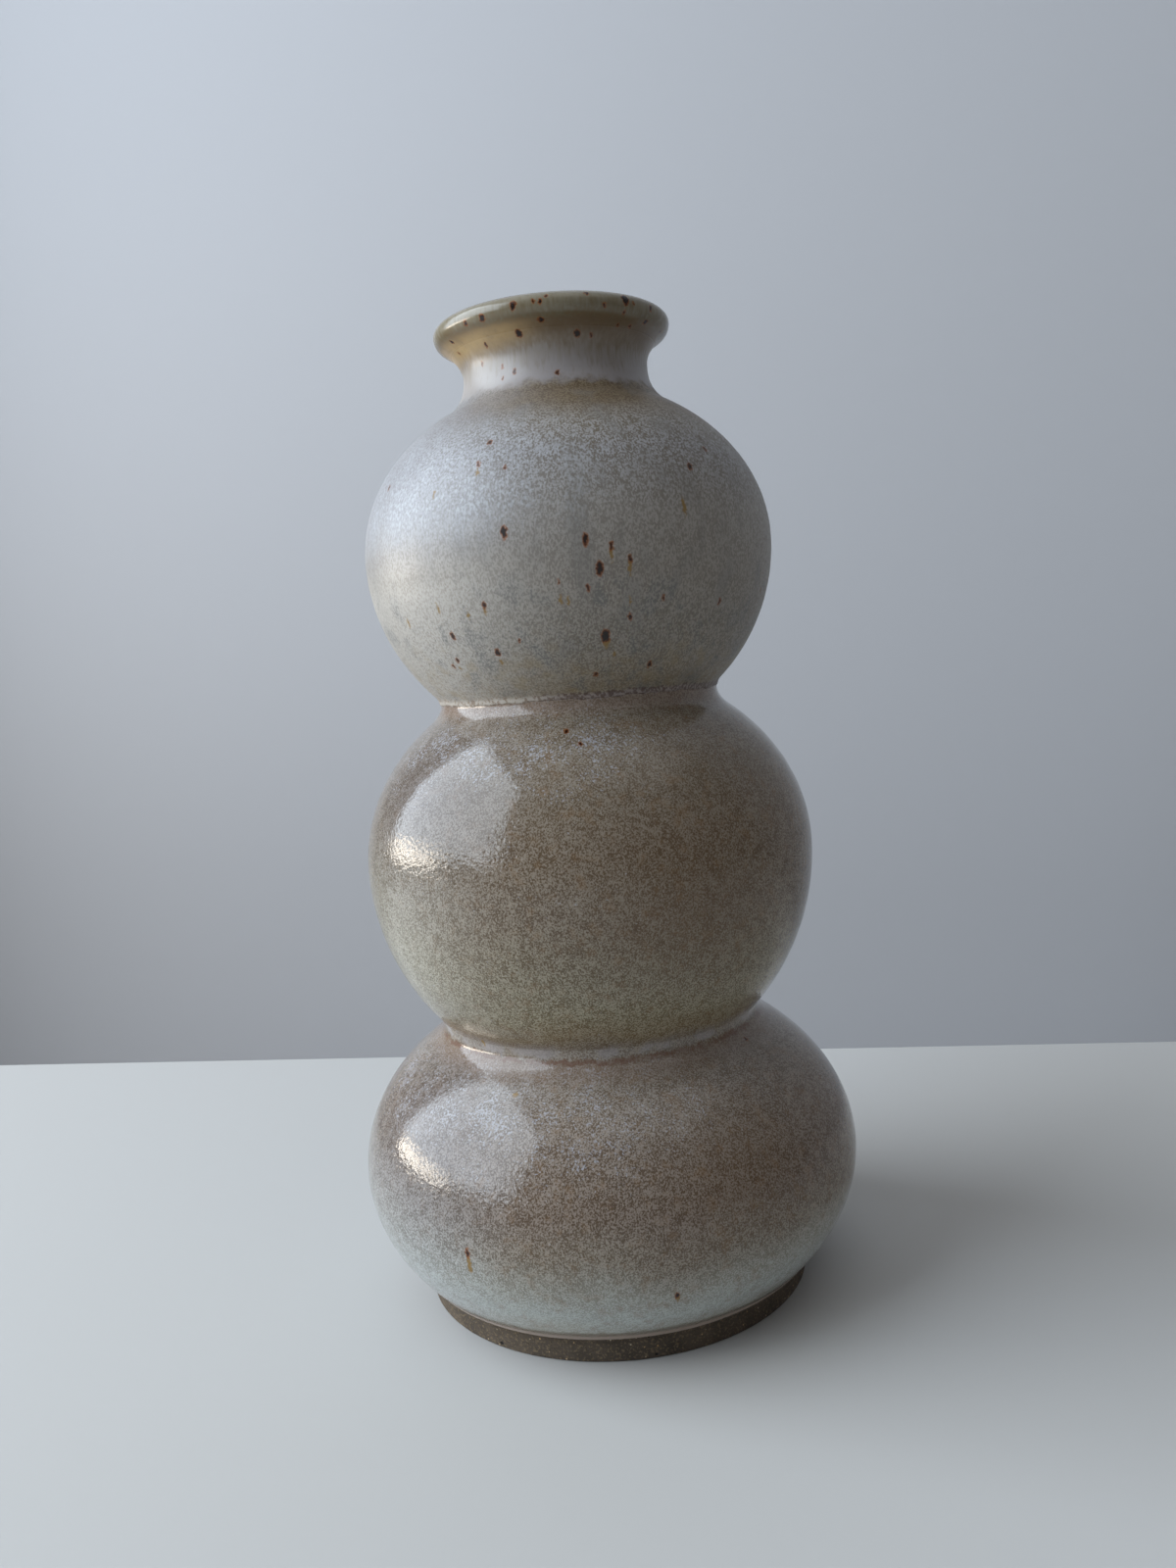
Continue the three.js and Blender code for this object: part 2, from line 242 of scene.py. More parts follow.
def outside_radius(height):
    """Finished outside radius from the glaze line to the top of the neck."""
    glaze_end = (glaze_line, glaze_edge_radius)
    lower_end = (lower_crossing, LOWER_CREASE_RADIUS - CREASE_FILLET)
    upper_end = (upper_crossing, UPPER_CREASE_RADIUS - CREASE_FILLET)
    neck_end = (neck_base, NECK_RADIUS)
    lower = bulb_radius(height, LOWER_BULB_RADIUS, lower_equator, glaze_end, lower_end)
    middle = bulb_radius(height, MIDDLE_BULB_RADIUS, middle_equator, lower_end, upper_end)
    upper = bulb_radius(height, UPPER_BULB_RADIUS, upper_equator, upper_end, neck_end)
    stack = filleted_max(filleted_max(lower, middle), upper)
    fillet_drop = np.clip(fillet_centre[1] - height, 0, NECK_FILLET)
    fillet = fillet_centre[0] - np.sqrt(NECK_FILLET ** 2 - fillet_drop ** 2)
    return np.where(height < fillet_foot, stack, fillet)


fillet_foot, fillet_centre = neck_fillet()
neck_top = fillet_centre[1] + NECK_LENGTH


def throat_line():
    """The finished outside from the glaze line to the top of the neck."""
    heights = np.linspace(glaze_line, neck_top, OUTLINE_POINTS)
    return np.column_stack([outside_radius(heights), heights])


def lip_line():
    """The flare, the rolled lip and the mouth, from the top of the neck to the upper edge of the liner."""
    lip_radius = NECK_RADIUS + LIP_OVERHANG
    reach = lip_radius - LIP_NOSE_RADIUS - NECK_RADIUS - FLARE_RADIUS
    rise = math.sqrt((FLARE_RADIUS + LIP_NOSE_RADIUS) ** 2 - reach ** 2)
    nose_angle = math.atan2(rise, reach)
    lip_height = neck_top + rise
    crest_radius = lip_radius - LIP_CREST_INSET
    roll_bottom = lip_height + LIP_CREST_RISE - MOUTH_ROLL_DEPTH
    nose_centre = (lip_radius - LIP_NOSE_RADIUS, lip_height)
    mouth_radii = (crest_radius - bore_radius, MOUTH_ROLL_DEPTH)
    return np.vstack([
        curve((NECK_RADIUS + FLARE_RADIUS, neck_top), (FLARE_RADIUS, FLARE_RADIUS), math.pi, nose_angle),
        curve(nose_centre, (LIP_NOSE_RADIUS, LIP_NOSE_RADIUS), nose_angle - math.pi, 0),
        curve((crest_radius, lip_height), (LIP_CREST_INSET, LIP_CREST_RISE), 0, math.pi / 2),
        curve((crest_radius, roll_bottom), mouth_radii, math.pi / 2, math.pi),
        [(bore_radius, roll_bottom - LINER_DROP)],
    ])


def without_repeats(line):
    """A line of points without steps of no length."""
    steps = np.linalg.norm(np.diff(line, axis=0), axis=1)
    return line[np.concatenate([[True], steps > 1e-6])]


def along(line):
    """Distance along a line of points, from its start."""
    return np.concatenate([[0], np.cumsum(np.linalg.norm(np.diff(line, axis=0), axis=1))])


def resampled(line, step):
    """A line of points at nearly equal steps."""
    length = along(line)
    places = np.linspace(0, length[-1], max(2, round(length[-1] / step) + 1))
    return np.column_stack([np.interp(places, length, line[:, axis]) for axis in (0, 1)])


def crisp_end(line):
    """A line with one more point close to its end, so that smooth shading keeps true up to it."""
    last_step = line[-1] - line[-2]
    return np.vstack([line[:-1], line[-1] - last_step * CRISP_LENGTH / np.linalg.norm(last_step), line[-1]])


def outward(line):
    """Unit normals on the right-hand side of a line of points, which is its outer side going up."""
    tangent = np.gradient(line, axis=0)
    normal = np.column_stack([tangent[:, 1], -tangent[:, 0]])
    return normal / np.linalg.norm(normal, axis=1, keepdims=True)


def below(line, depth):
    """A line that lies a depth under another, on its inner side."""
    return line - depth * outward(line)


# Turned meshes

turn = np.arange(SEGMENTS) * (2 * math.pi / SEGMENTS)


def spread(outline):
    """An outline's radii and heights on a grid of rows and turn steps."""
    shape = (len(outline), SEGMENTS)
    return np.broadcast_to(outline[:, :1], shape).copy(), np.broadcast_to(outline[:, 1:], shape).copy()


def unevenness(heights):
    """How far a hand-thrown wall strays from a true circle, with throwing lines and a fuller left lip."""
    oval = OVAL * np.sin(2 * turn + heights / 34 + 0.6)
    three_sided = THREE_SIDED * np.sin(3 * turn - heights / 27 + 2.1)
    spiral = THROWING_LINE * np.sin(2 * math.pi * heights / THROWING_PITCH - turn) * np.sin(heights / 19) ** 2
    left_lip = LEFT_LIP_SWELL * (1 - np.cos(turn)) / 2 * np.clip((heights - neck_top) / FLARE_RADIUS, 0, 1)
    return oval + three_sided + spiral + left_lip


def wave(sizes, seed):
    """A wandering line once round the vase: a sum of sines whose starts are drawn from a seed.
    Sizes are (waves in one turn, height in millimetres)."""
    draws = np.random.default_rng(seed)
    line = np.zeros(SEGMENTS)
    for count, size in sizes:
        line += size * np.sin(count * turn + draws.uniform(0, 2 * math.pi))
    return line


def turned(name, radii, heights, on_axis=False):
    """A closed solid from grids of radii and heights, in millimetres. The rows go round a closed outline,
    or from axis to axis with the first and last rows drawn to a point."""
    corners = np.stack([radii * np.cos(turn), radii * np.sin(turn), heights], axis=-1) * MM
    rows = len(radii)
    row = np.arange(rows if not on_axis else rows - 1)
    step = np.arange(SEGMENTS)
    next_row = (row + 1) % rows
    next_step = (step + 1) % SEGMENTS
    quads = np.stack([
        row[:, None] * SEGMENTS + step,
        row[:, None] * SEGMENTS + next_step,
        next_row[:, None] * SEGMENTS + next_step,
        next_row[:, None] * SEGMENTS + step,
    ], axis=-1)
    points = corners.reshape(-1, 3).tolist()
    faces = quads.reshape(-1, 4).tolist()
    if on_axis:
        faces = faces[SEGMENTS:-SEGMENTS]
        last = (rows - 2) * SEGMENTS
        bottom = len(points)
        points += [[0, 0, heights[0, 0] * MM], [0, 0, heights[-1, 0] * MM]]
        faces += [[bottom, SEGMENTS + after, SEGMENTS + here] for here, after in zip(step, next_step)]
        faces += [[last + here, last + after, bottom + 1] for here, after in zip(step, next_step)]
    mesh = bpy.data.meshes.new(name)
    mesh.from_pydata(points, [], faces)
    mesh.shade_smooth()
    piece = bpy.data.objects.new(name, mesh)
    bpy.context.scene.collection.objects.link(piece)
    return piece


def note_distance(piece, distance):
    """Keeps each row's distance from the coat's lower edge, in millimetres, for the material to read."""
    values = np.repeat(distance, SEGMENTS).astype(np.float32)
    piece.data.attributes.new("from_edge", "FLOAT", "POINT").data.foreach_set("value", values)


def rolled_edge(distance, roll, swell):
    """How far a coat's outside stands off the outline near its lower edge, where it turns in with a bead."""
    rounding = np.clip(1 - distance / roll, 0, 1)
    turned_in = -COAT_THICKNESS * (1 - np.sqrt(1 - rounding ** 2))
    return turned_in + swell * np.exp(-((distance - 1.3 * roll) / (1.1 * roll)) ** 2)


def coat(name, line, roll, swell, edge_wave):
    """A glaze coat over a line of the outside, with a rolled and wandering lower edge."""
    outer = resampled(line, OUTER_STEP)
    fine_length = 4 * roll
    start = resampled(line[along(line) < fine_length], roll / 5)
    outer = crisp_end(np.vstack([start, outer[along(outer) > along(start)[-1] + OUTER_STEP / 2]]))
    distance = along(outer)
    inner = below(resampled(line, INNER_STEP), COAT_THICKNESS)[::-1]
    shaped = outer + rolled_edge(distance, roll, swell)[:, None] * outward(outer)
    outline = np.vstack([shaped, inner])
    outline_distance = np.concatenate([distance, along(inner[::-1])[::-1]])
    radii, heights = spread(outline)
    slide = np.clip(1 - outline_distance / EDGE_WAVE_REACH, 0, 1)[:, None] * edge_wave
    tangent = np.gradient(line, axis=0)[0]
    tangent /= np.linalg.norm(tangent)
    radii += slide * tangent[0] + unevenness(heights)
    heights += slide * tangent[1]
    piece = turned(name, radii, heights)
    note_distance(piece, outline_distance)
    return piece


throat = throat_line()
lip = lip_line()
outside = without_repeats(np.vstack([throat, lip]))
satin_edge = upper_crossing + SATIN_EDGE_RISE
satin_line = outside[np.argmax(outside[:, 1] > satin_edge):]
waist_distance = along(satin_line)[np.argmax(satin_line[:, 1] > fillet_centre[1])]

gloss_wave = wave([(1, 0.25), (2, 0.2), (5, 0.12), (9, 0.1), (17, 0.07), (31, 0.05)], seed=3)
satin_wave = wave([(1, 0.2), (3, 0.15), (7, 0.12), (13, 0.1), (29, 0.1), (47, 0.1), (71, 0.08)], seed=8)


def gloss_coat():
    """The glossy coat, whose upper edge runs in under the satin one."""
    line = throat[throat[:, 1] < satin_edge + COAT_OVERLAP]
    tucked = np.clip((line[:, 1] - satin_edge + COAT_OVERLAP) / (2 * COAT_OVERLAP), 0, 1) * TUCK_DEPTH
    line = line - tucked[:, None] * outward(line)
    return coat("gloss_coat", line, GLOSS_EDGE_ROLL, GLOSS_EDGE_SWELL, gloss_wave)


def satin_coat():
    return coat("satin_coat", satin_line, SATIN_EDGE_ROLL, SATIN_EDGE_SWELL, satin_wave)


def inner_line():
    """The finished inside from the upper edge of the liner down to the floor's corner."""
    walls = below(throat, full_depth)
    walls = walls[walls[:, 1] < lip[-1, 1]]
    corner_top = floor_top + FLOOR_CORNER_RADIUS
    walls = walls[walls[:, 1] > corner_top][::-1]
    centre = (walls[-1, 0] - FLOOR_CORNER_RADIUS, corner_top)
    corner = curve(centre, (FLOOR_CORNER_RADIUS, FLOOR_CORNER_RADIUS), 0, -math.pi / 2)
    return without_repeats(np.vstack([lip[-1:], walls, corner]))


def liner_coat():
    face = crisp_end(resampled(inner_line(), LINER_STEP)[::-1])[::-1]
    floor_middle = np.array([(0, floor_top)])
    back = below(resampled(inner_line(), INNER_STEP), COAT_THICKNESS)
    back_middle = np.array([(0, floor_top - COAT_THICKNESS)])
    outline = np.vstack([back_middle, back[::-1], face, floor_middle])
    radii, heights = spread(outline)
    radii[1:-1] += unevenness(heights[1:-1])
    return turned("liner_coat", radii, heights, on_axis=True)


def rounded(outline, radius, points=6):
    """A closed outline with each corner rounded by a short curve."""
    result = []
    for before, corner, after in zip(np.roll(outline, 1, axis=0), outline, np.roll(outline, -1, axis=0)):
        into = corner + (before - corner) * min(0.45, radius / np.linalg.norm(before - corner))
        out = corner + (after - corner) * min(0.45, radius / np.linalg.norm(after - corner))
        for share in np.linspace(0, 1, points):
            result.append((1 - share) ** 2 * into + 2 * share * (1 - share) * corner + share ** 2 * out)
    return np.array(result)


def foot():
    """The bare foot ring, with faint turning lines on its side."""
    corners = np.array([
        (foot_bore, 0),
        (foot_radius, 0),
        (foot_radius, foot_ring_top),
        (foot_bore, foot_ring_top),
    ])
    rim = rounded(corners, FOOT_CHAMFER)
    outline = resampled(np.vstack([rim, rim[:1]]), FOOT_DIVISION)[:-1]
    radii, heights = spread(outline)
    on_side = np.clip(radii - foot_radius + 1, 0, 1)
    lines = FOOT_TURNING_LINE * np.sin(heights * 5.2) + FOOT_CHATTER * np.sin(heights * 11.3 + 2 * turn)
    radii += on_side * lines
    radii += on_side * FOOT_OVAL * np.sin(3 * turn + 1)
    return turned("foot", radii, heights)


def lower_section():
    """The lower bulb's clay with its floor: its underside shows inside the foot ring, with turning rings."""
    boss = foot_bore - FIT_GAP
    flat_radius = boss - UNDERSIDE_EDGE
    rings = np.linspace(0, flat_radius, UNDERSIDE_RINGS)
    groove = UNDERSIDE_GROOVE * np.sin(rings * 1.9) + UNDERSIDE_SCRATCH * np.sin(rings * 4.7 + 1)
    fade = np.clip((flat_radius - rings) / 3, 0, 1) * np.clip(rings / 2, 0, 1)
    bottom = np.column_stack([rings, underside + groove * fade])
    edge = [(boss - 0.4, underside + 0.1), (boss, underside + 0.6), (boss, bulb_seat)]
    top = lower_crossing
    wall = below(throat, clay_depth)
    wall = resampled(wall[(wall[:, 1] > bulb_seat) & (wall[:, 1] < top)], CLAY_STEP)
    inside = below(resampled(inner_line(), CLAY_STEP), clay_depth)
    inside = inside[inside[:, 1] < top]
    floor_middle = [(0, floor_top - clay_depth)]
    outline = np.vstack([bottom, edge, wall, inside, floor_middle])
    radii, heights = spread(outline)
    return turned("lower_section", radii, heights, on_axis=True)


# The camera

def camera_axes():
    """The camera's right, up and backward directions."""
    forward = Vector((
        math.sin(CAMERA_YAW) * math.cos(CAMERA_PITCH_DOWN),
        math.cos(CAMERA_YAW) * math.cos(CAMERA_PITCH_DOWN),
        -math.sin(CAMERA_PITCH_DOWN),
    ))
    level = Vector((math.cos(CAMERA_YAW), -math.sin(CAMERA_YAW), 0))
    upright = level.cross(forward)
    right = math.cos(CAMERA_ROLL) * level + math.sin(CAMERA_ROLL) * upright
    up = math.cos(CAMERA_ROLL) * upright - math.sin(CAMERA_ROLL) * level
    return right, up, -forward


def photo_camera():
    right, up, backward = camera_axes()
    data = bpy.data.cameras.new("camera")
    data.sensor_width = SENSOR_MM
    data.lens = FOCAL_PIXELS * SENSOR_MM / IMAGE_HEIGHT
    data.clip_start = CAMERA_NEAR
    camera = bpy.data.objects.new("camera", data)
    rotation = Matrix((right, up, backward)).transposed().to_4x4()
    camera.matrix_world = Matrix.Translation(CAMERA_PLACE) @ rotation
    bpy.context.scene.collection.objects.link(camera)
    bpy.context.scene.camera = camera


def pixel_direction(across, down):
    """Direction from the camera through a place in the photograph."""
    right, up, backward = camera_axes()
    across_share = (across - IMAGE_WIDTH / 2) / FOCAL_PIXELS
    down_share = (down - IMAGE_HEIGHT / 2) / FOCAL_PIXELS
    return (across_share * right - down_share * up - backward).normalized()


def marks_on(piece, listed):
    """Marks listed as places in the photograph with half widths, as points on a piece with half widths."""
    bpy.context.view_layer.update()
    tree = BVHTree.FromObject(piece, bpy.context.evaluated_depsgraph_get())
    marks = []
    for across, down, half_width in listed:
        point = tree.ray_cast(CAMERA_PLACE, pixel_direction(across, down))[0]
        if point is not None:
            marks.append((point, half_width))
    return marks


def strewn(line, count, seed, largest, turns):
    """Marks strewn over a line of the outside turned about the axis, within a range of turns in degrees."""
    draws = np.random.default_rng(seed)
    even = resampled(line, 1.0)
    marks = []
    for _ in range(count):
        radius, height = even[draws.integers(len(even))]
        angle = math.radians(draws.uniform(*turns))
        half_width = SMALLEST_SPECK + (largest - SMALLEST_SPECK) * draws.uniform() ** 2
        marks.append((Vector((radius * math.cos(angle), radius * math.sin(angle), height)) * MM, half_width))
    return marks


# Materials

def tone(red, green, blue):
    """A colour given in display values from 0 to 255, as the linear colour that nodes take."""
    def linear(value):
        share = value / 255
        return share / 12.92 if share <= 0.04045 else ((share + 0.055) / 1.055) ** 2.4

    return linear(red), linear(green), linear(blue), 1.0


class Look:
    """A material's node tree, with short calls for the nodes that the materials here use."""

    def __init__(self, name):
        self.material = bpy.data.materials.new(name)
        self.material.use_nodes = True
        self.tree = self.material.node_tree
        self.shader = self.tree.nodes["Principled BSDF"]
        self.place = self.node("ShaderNodeTexCoord").outputs["Object"]
        parts = self.node("ShaderNodeSeparateXYZ", Vector=self.place)
        self.across = self.math("DIVIDE", parts.outputs["X"], MM)
        self.height = self.math("DIVIDE", parts.outputs["Z"], MM)

    def put(self, socket, value):
        """Links a socket to another node's output, or sets it to a constant."""
        if isinstance(value, bpy.types.NodeSocket):
            self.tree.links.new(value, socket)
        else:
            socket.default_value = value

    def node(self, kind, settings=(), **inputs):
        made = self.tree.nodes.new(kind)
        for name, value in dict(settings).items():
            setattr(made, name, value)
        for name, value in inputs.items():
            self.put(made.inputs[name.replace("_", " ")], value)
        return made

    def math(self, operation, first, second=0.0, third=0.0):
        made = self.tree.nodes.new("ShaderNodeMath")
        made.operation = operation
        for socket, value in zip(made.inputs, (first, second, third)):
            self.put(socket, value)
        return made.outputs["Value"]

    def stretched(self, share):
        """Places with their heights shrunk, so that patterns on them come out taller."""
        settings = {"operation": "MULTIPLY"}
        made = self.node("ShaderNodeVectorMath", settings)
        self.put(made.inputs[0], self.place)
        self.put(made.inputs[1], (1, 1, share))
        return made.outputs["Vector"]

    def noise(self, size, place=None, detail=2.0, distortion=0.0):
        """Cloudy noise from 0 to 1 whose features are about a size across, in millimetres."""
        made = self.node("ShaderNodeTexNoise", Vector=place or self.place, Scale=1 / (size * MM),
                         Detail=detail, Distortion=distortion)
        return made.outputs["Fac"]

    def cells(self, size, place=None):
        """Scattered cells, size millimetres apart: distance to the middle, and a colour for each cell."""
        made = self.node("ShaderNodeTexVoronoi", Vector=place or self.place, Scale=1 / (size * MM))
        return made.outputs["Distance"], made.outputs["Color"]

    def rise(self, value, start, end, low=0.0, high=1.0):
        """A smooth step from low to high while a value goes from start to end."""
        made = self.node("ShaderNodeMapRange", {"interpolation_type": "SMOOTHSTEP"}, Value=value)
        for name, number in (("From Min", start), ("From Max", end), ("To Min", low), ("To Max", high)):
            self.put(made.inputs[name], number)
        return made.outputs["Result"]

    def scale_of(self, value, stops):
        """Colours along a value, from stops of (value, colour) in rising order."""
        first, last = stops[0][0], stops[-1][0]
        share = self.node("ShaderNodeMapRange", Value=value)
        self.put(share.inputs["From Min"], first)
        self.put(share.inputs["From Max"], last)
        made = self.node("ShaderNodeValToRGB", Fac=share.outputs["Result"])
        band = made.color_ramp
        while len(band.elements) < len(stops):
            band.elements.new(0.5)
        for element, (at, colour) in zip(band.elements, stops):
            element.position = (at - first) / (last - first)
            element.color = colour
        return made.outputs["Color"]

    def levels(self, value, stops):
        """Numbers along a value, from stops of (value, number) in rising order."""
        return self.scale_of(value, [(at, (number, number, number, 1)) for at, number in stops])

    def mix(self, share, first, second, blend="MIX"):
        made = self.node("ShaderNodeMix", {"data_type": "RGBA", "blend_type": blend}, Factor=share)
        self.put(made.inputs[6], first)
        self.put(made.inputs[7], second)
        return made.outputs[2]

    def patch(self, middle, reach):
        """1 at a place given in millimetres, fading to 0 at a reach from it."""
        gap = self.node("ShaderNodeVectorMath", {"operation": "DISTANCE"})
        self.put(gap.inputs[0], self.place)
        self.put(gap.inputs[1], Vector(middle) * MM)
        return self.rise(gap.outputs["Value"], reach * MM, 0.0)

    def sum(self, first, *others):
        for other in others:
            first = self.math("ADD", first, other)
        return first

    def times(self, first, *others):
        for other in others:
            first = self.math("MULTIPLY", first, other)
        return first

    def from_edge(self):
        """Distance from the coat's lower edge, in millimetres."""
        return self.node("ShaderNodeAttribute", {"attribute_name": "from_edge"}).outputs["Fac"]

    def bump(self, height, depth, under=None):
        """Surface relief from a height of 0 to 1, as deep as a depth in millimetres."""
        made = self.node("ShaderNodeBump", Height=height, Distance=depth * MM, Strength=1.0)
        if under is not None:
            self.put(made.inputs["Normal"], under)
        return made.outputs["Normal"]

    def finish(self, colour, roughness, normal):
        self.put(self.shader.inputs["Base Color"], colour)
        self.put(self.shader.inputs["Roughness"], roughness)
        self.put(self.shader.inputs["Normal"], normal)
        return self.material


# Iron marks and the grain of the glazes, with sizes and relief in millimetres
IRON_BLACK = tone(26, 14, 8)
IRON_BROWN = tone(78, 38, 14)
IRON_RUST = tone(134, 78, 34)
IRON_RUN = tone(130, 102, 50)
SMALLEST_SPECK = 0.3
SPECK_RAGGEDNESS = 0.9
SPECK_BEND = 1.5
LIP_SPECK_TALLNESS = 1.5
SPECK_TALLNESS = 2.1
RUN_TALLNESS = 5.0
GLOSS_REFRACTION = 1.44
GLOSS_FLECK = 0.4
GLOSS_FLECK_RELIEF = 0.0075
GLOSS_PEEL = 1.1
GLOSS_PEEL_RELIEF = 0.16
SATIN_GRAIN = 0.5
SATIN_GRAIN_RELIEF = 0.025


def depth_inside(look, marks, tallness):
    """How far inside the nearest mark's ragged rim a place is, in millimetres: below 0 outside it.
    Marks are (point, half width in millimetres) and stand upright, taller than wide by a factor."""
    ragged = look.node("ShaderNodeTexNoise", Vector=look.place, Scale=1 / (SPECK_RAGGEDNESS * MM), Detail=3.0)
    bend = look.node("ShaderNodeVectorMath", {"operation": "MULTIPLY_ADD"})
    look.put(bend.inputs[0], ragged.outputs["Color"])
    look.put(bend.inputs[1], (SPECK_BEND * MM,) * 3)
    look.put(bend.inputs[2], look.place)
    squash = look.node("ShaderNodeVectorMath", {"operation": "MULTIPLY"})
    look.put(squash.inputs[0], bend.outputs["Vector"])
    look.put(squash.inputs[1], (1 / MM, 1 / MM, 1 / (MM * tallness)))
    mean_bend = Vector((SPECK_BEND, SPECK_BEND, SPECK_BEND)) / 2
    deepest = None
    for point, half_width in marks:
        middle = point / MM + mean_bend
        gap = look.node("ShaderNodeVectorMath", {"operation": "DISTANCE"})
        look.put(gap.inputs[0], squash.outputs["Vector"])
        look.put(gap.inputs[1], (middle.x, middle.y, middle.z / tallness))
        depth = look.math("SUBTRACT", half_width, gap.outputs["Value"])
        deepest = depth if deepest is None else look.math("MAXIMUM", deepest, depth)
    return deepest


def iron_specks(look, colour, specks, tallness):
    """Iron that has melted into a glaze: rusty where it is thin, brown black in the middle."""
    depth = depth_inside(look, specks, tallness)
    colour = look.mix(look.rise(depth, -0.28, -0.05, high=0.75), colour, IRON_RUST)
    colour = look.mix(look.rise(depth, -0.06, 0.12), colour, IRON_BROWN)
    return look.mix(look.rise(depth, 0.12, 0.34), colour, IRON_BLACK)


def iron_runs(look, colour, runs):
    """Ochre runs that iron has drawn down a glaze."""
    return look.mix(look.rise(depth_inside(look, runs, RUN_TALLNESS), -0.2, 0.25, high=0.9), colour, IRON_RUN)


def gloss_glaze(specks, runs):
    """Glossy brown glaze crowded with fine pale flecks, palest where it pools above the foot."""
    look = Look("gloss_glaze")
    clouds = look.noise(26, look.stretched(0.7), detail=3)
    wandering = look.math("ADD", look.height, look.math("MULTIPLY_ADD", clouds, 14.0, -7.0))
    brown = look.scale_of(wandering, [
        (10, tone(162, 160, 148)),
        (18, tone(157, 160, 154)),
        (27, tone(134, 130, 119)),
        (36, tone(100, 87, 71)),
        (46, tone(87, 71, 57)),
        (62, tone(95, 80, 66)),
        (76, tone(104, 92, 78)),
        (85, tone(108, 91, 67)),
        (92, tone(110, 98, 75)),
        (104, tone(99, 86, 66)),
        (118, tone(91, 75, 59)),
        (137, tone(93, 77, 60)),
        (152, tone(96, 81, 64)),
        (170, tone(100, 87, 72)),
    ])
    pale = look.scale_of(wandering, [
        (10, tone(180, 181, 172)),
        (18, tone(182, 187, 184)),
        (27, tone(170, 170, 162)),
        (36, tone(149, 139, 126)),
        (46, tone(138, 125, 114)),
        (62, tone(144, 133, 123)),
        (76, tone(150, 142, 134)),
        (85, tone(154, 142, 119)),
        (92, tone(165, 158, 137)),
        (104, tone(153, 145, 127)),
        (118, tone(141, 130, 115)),
        (137, tone(138, 126, 112)),
        (152, tone(134, 124, 111)),
        (170, tone(140, 131, 119)),
    ])
    flecks = look.noise(GLOSS_FLECK, look.stretched(0.8), detail=2, distortion=0.5)
    clumps = look.math("MULTIPLY_ADD", look.noise(2.8, detail=3), 0.3, -0.15)
    fleck = look.rise(look.sum(flecks, clumps), 0.4, 0.6)
    colour = look.mix(fleck, brown, pale)

    # Browner patches right of the middle, and ochre clouds all over
    browner = look.sum(
        look.times(look.patch((24, -58, 118), 36), 0.65),
        look.times(look.patch((32, -62, 50), 32), 0.4),
    )
    soft = look.rise(flecks, 0.35, 0.65, low=0.9, high=0.45)
    colour = look.mix(look.times(browner, soft), colour, tone(100, 77, 52))
    ochre = look.rise(look.noise(3.5, detail=3), 0.52, 0.72, high=0.3)
    colour = look.mix(ochre, colour, tone(124, 96, 66))

    # Paler left sides of the middle bulb and of the lower bulb's foot: partly paler glaze, partly painted
    # light on the side the window lights
    lit_left_side = look.rise(look.across, -20.0, -55.0, high=0.8)
    middle_low = look.times(look.rise(look.height, 84.0, 94.0), look.rise(look.height, 158.0, 116.0))
    pale_and_lit_middle = look.mix(fleck, tone(140, 136, 122), tone(185, 184, 173))
    colour = look.mix(look.times(lit_left_side, middle_low, 0.7), colour, pale_and_lit_middle)
    foot_side = look.rise(look.height, 66.0, 30.0)
    pale_and_lit_foot = look.mix(fleck, tone(128, 131, 130), tone(176, 183, 186))
    colour = look.mix(look.times(lit_left_side, foot_side, 0.7), colour, pale_and_lit_foot)

    # Painted shade: broad and faint grey-brown clouds on the upper left of both bulbs, darkening the paint
    # where the window's reflection falls
    painted_shade_clouds = look.sum(look.patch((-44, -38, 150), 46), look.patch((-48, -42, 62), 46))
    # The tone of the painted shade under the window's reflection
    thin = look.mix(fleck, tone(72, 65, 66), tone(110, 106, 110))
    colour = look.mix(look.times(painted_shade_clouds, 0.55), colour, thin)

    # Bluish white flecks in drifts under the creases
    drifts = look.levels(look.height, [
        (48, 0.0), (66, 0.16), (76, 0.1), (84, 0.0), (144, 0.0), (162, 0.16), (170, 0.08),
    ])
    drifting = look.sum(drifts, look.math("MULTIPLY_ADD", look.noise(8, detail=3), 0.34, -0.17))
    further_left = look.rise(look.across, 44.0, 0.0, low=-0.1, high=0.03)
    bluish = look.rise(look.sum(look.noise(0.6, detail=3), drifting, further_left), 0.72, 0.82, high=0.7)
    colour = look.mix(bluish, colour, tone(164, 166, 174))

    # Lilac-grey over the lower crease, a reddish line along it, and pink under it and under the satin's edge
    wobble = look.math("MULTIPLY_ADD", look.noise(2.6, detail=4), 3.2, -1.6 - lower_crossing)
    up_from_crease = look.math("ADD", look.height, wobble)
    patches = look.rise(look.noise(6, detail=3), 0.42, 0.62)
    over_crease = look.times(look.rise(up_from_crease, 0.2, 1.4), look.rise(up_from_crease, 6.0, 2.0))
    lilac = look.rise(patches, 0.0, 1.0, low=0.15, high=0.6)
    colour = look.mix(look.times(over_crease, lilac), colour, tone(152, 146, 146))
    under_crease = look.times(look.rise(up_from_crease, 1.0, -1.0), look.rise(up_from_crease, -6.5, -2.0))
    colour = look.mix(look.times(under_crease, 0.35), colour, tone(136, 114, 100))
    red_line = look.rise(look.math("ABSOLUTE", look.math("ADD", up_from_crease, 0.3)), 0.9, 0.3)
    reddish = look.rise(patches, 1.0, 0.0, low=0.2, high=0.65)
    colour = look.mix(look.times(red_line, reddish), colour, tone(108, 78, 64))
    pink = look.rise(look.height, upper_crossing - 4.0, upper_crossing, high=0.5)
    colour = look.mix(look.times(pink, look.rise(flecks, 0.35, 0.65, low=0.5)), colour, tone(146, 124, 112))

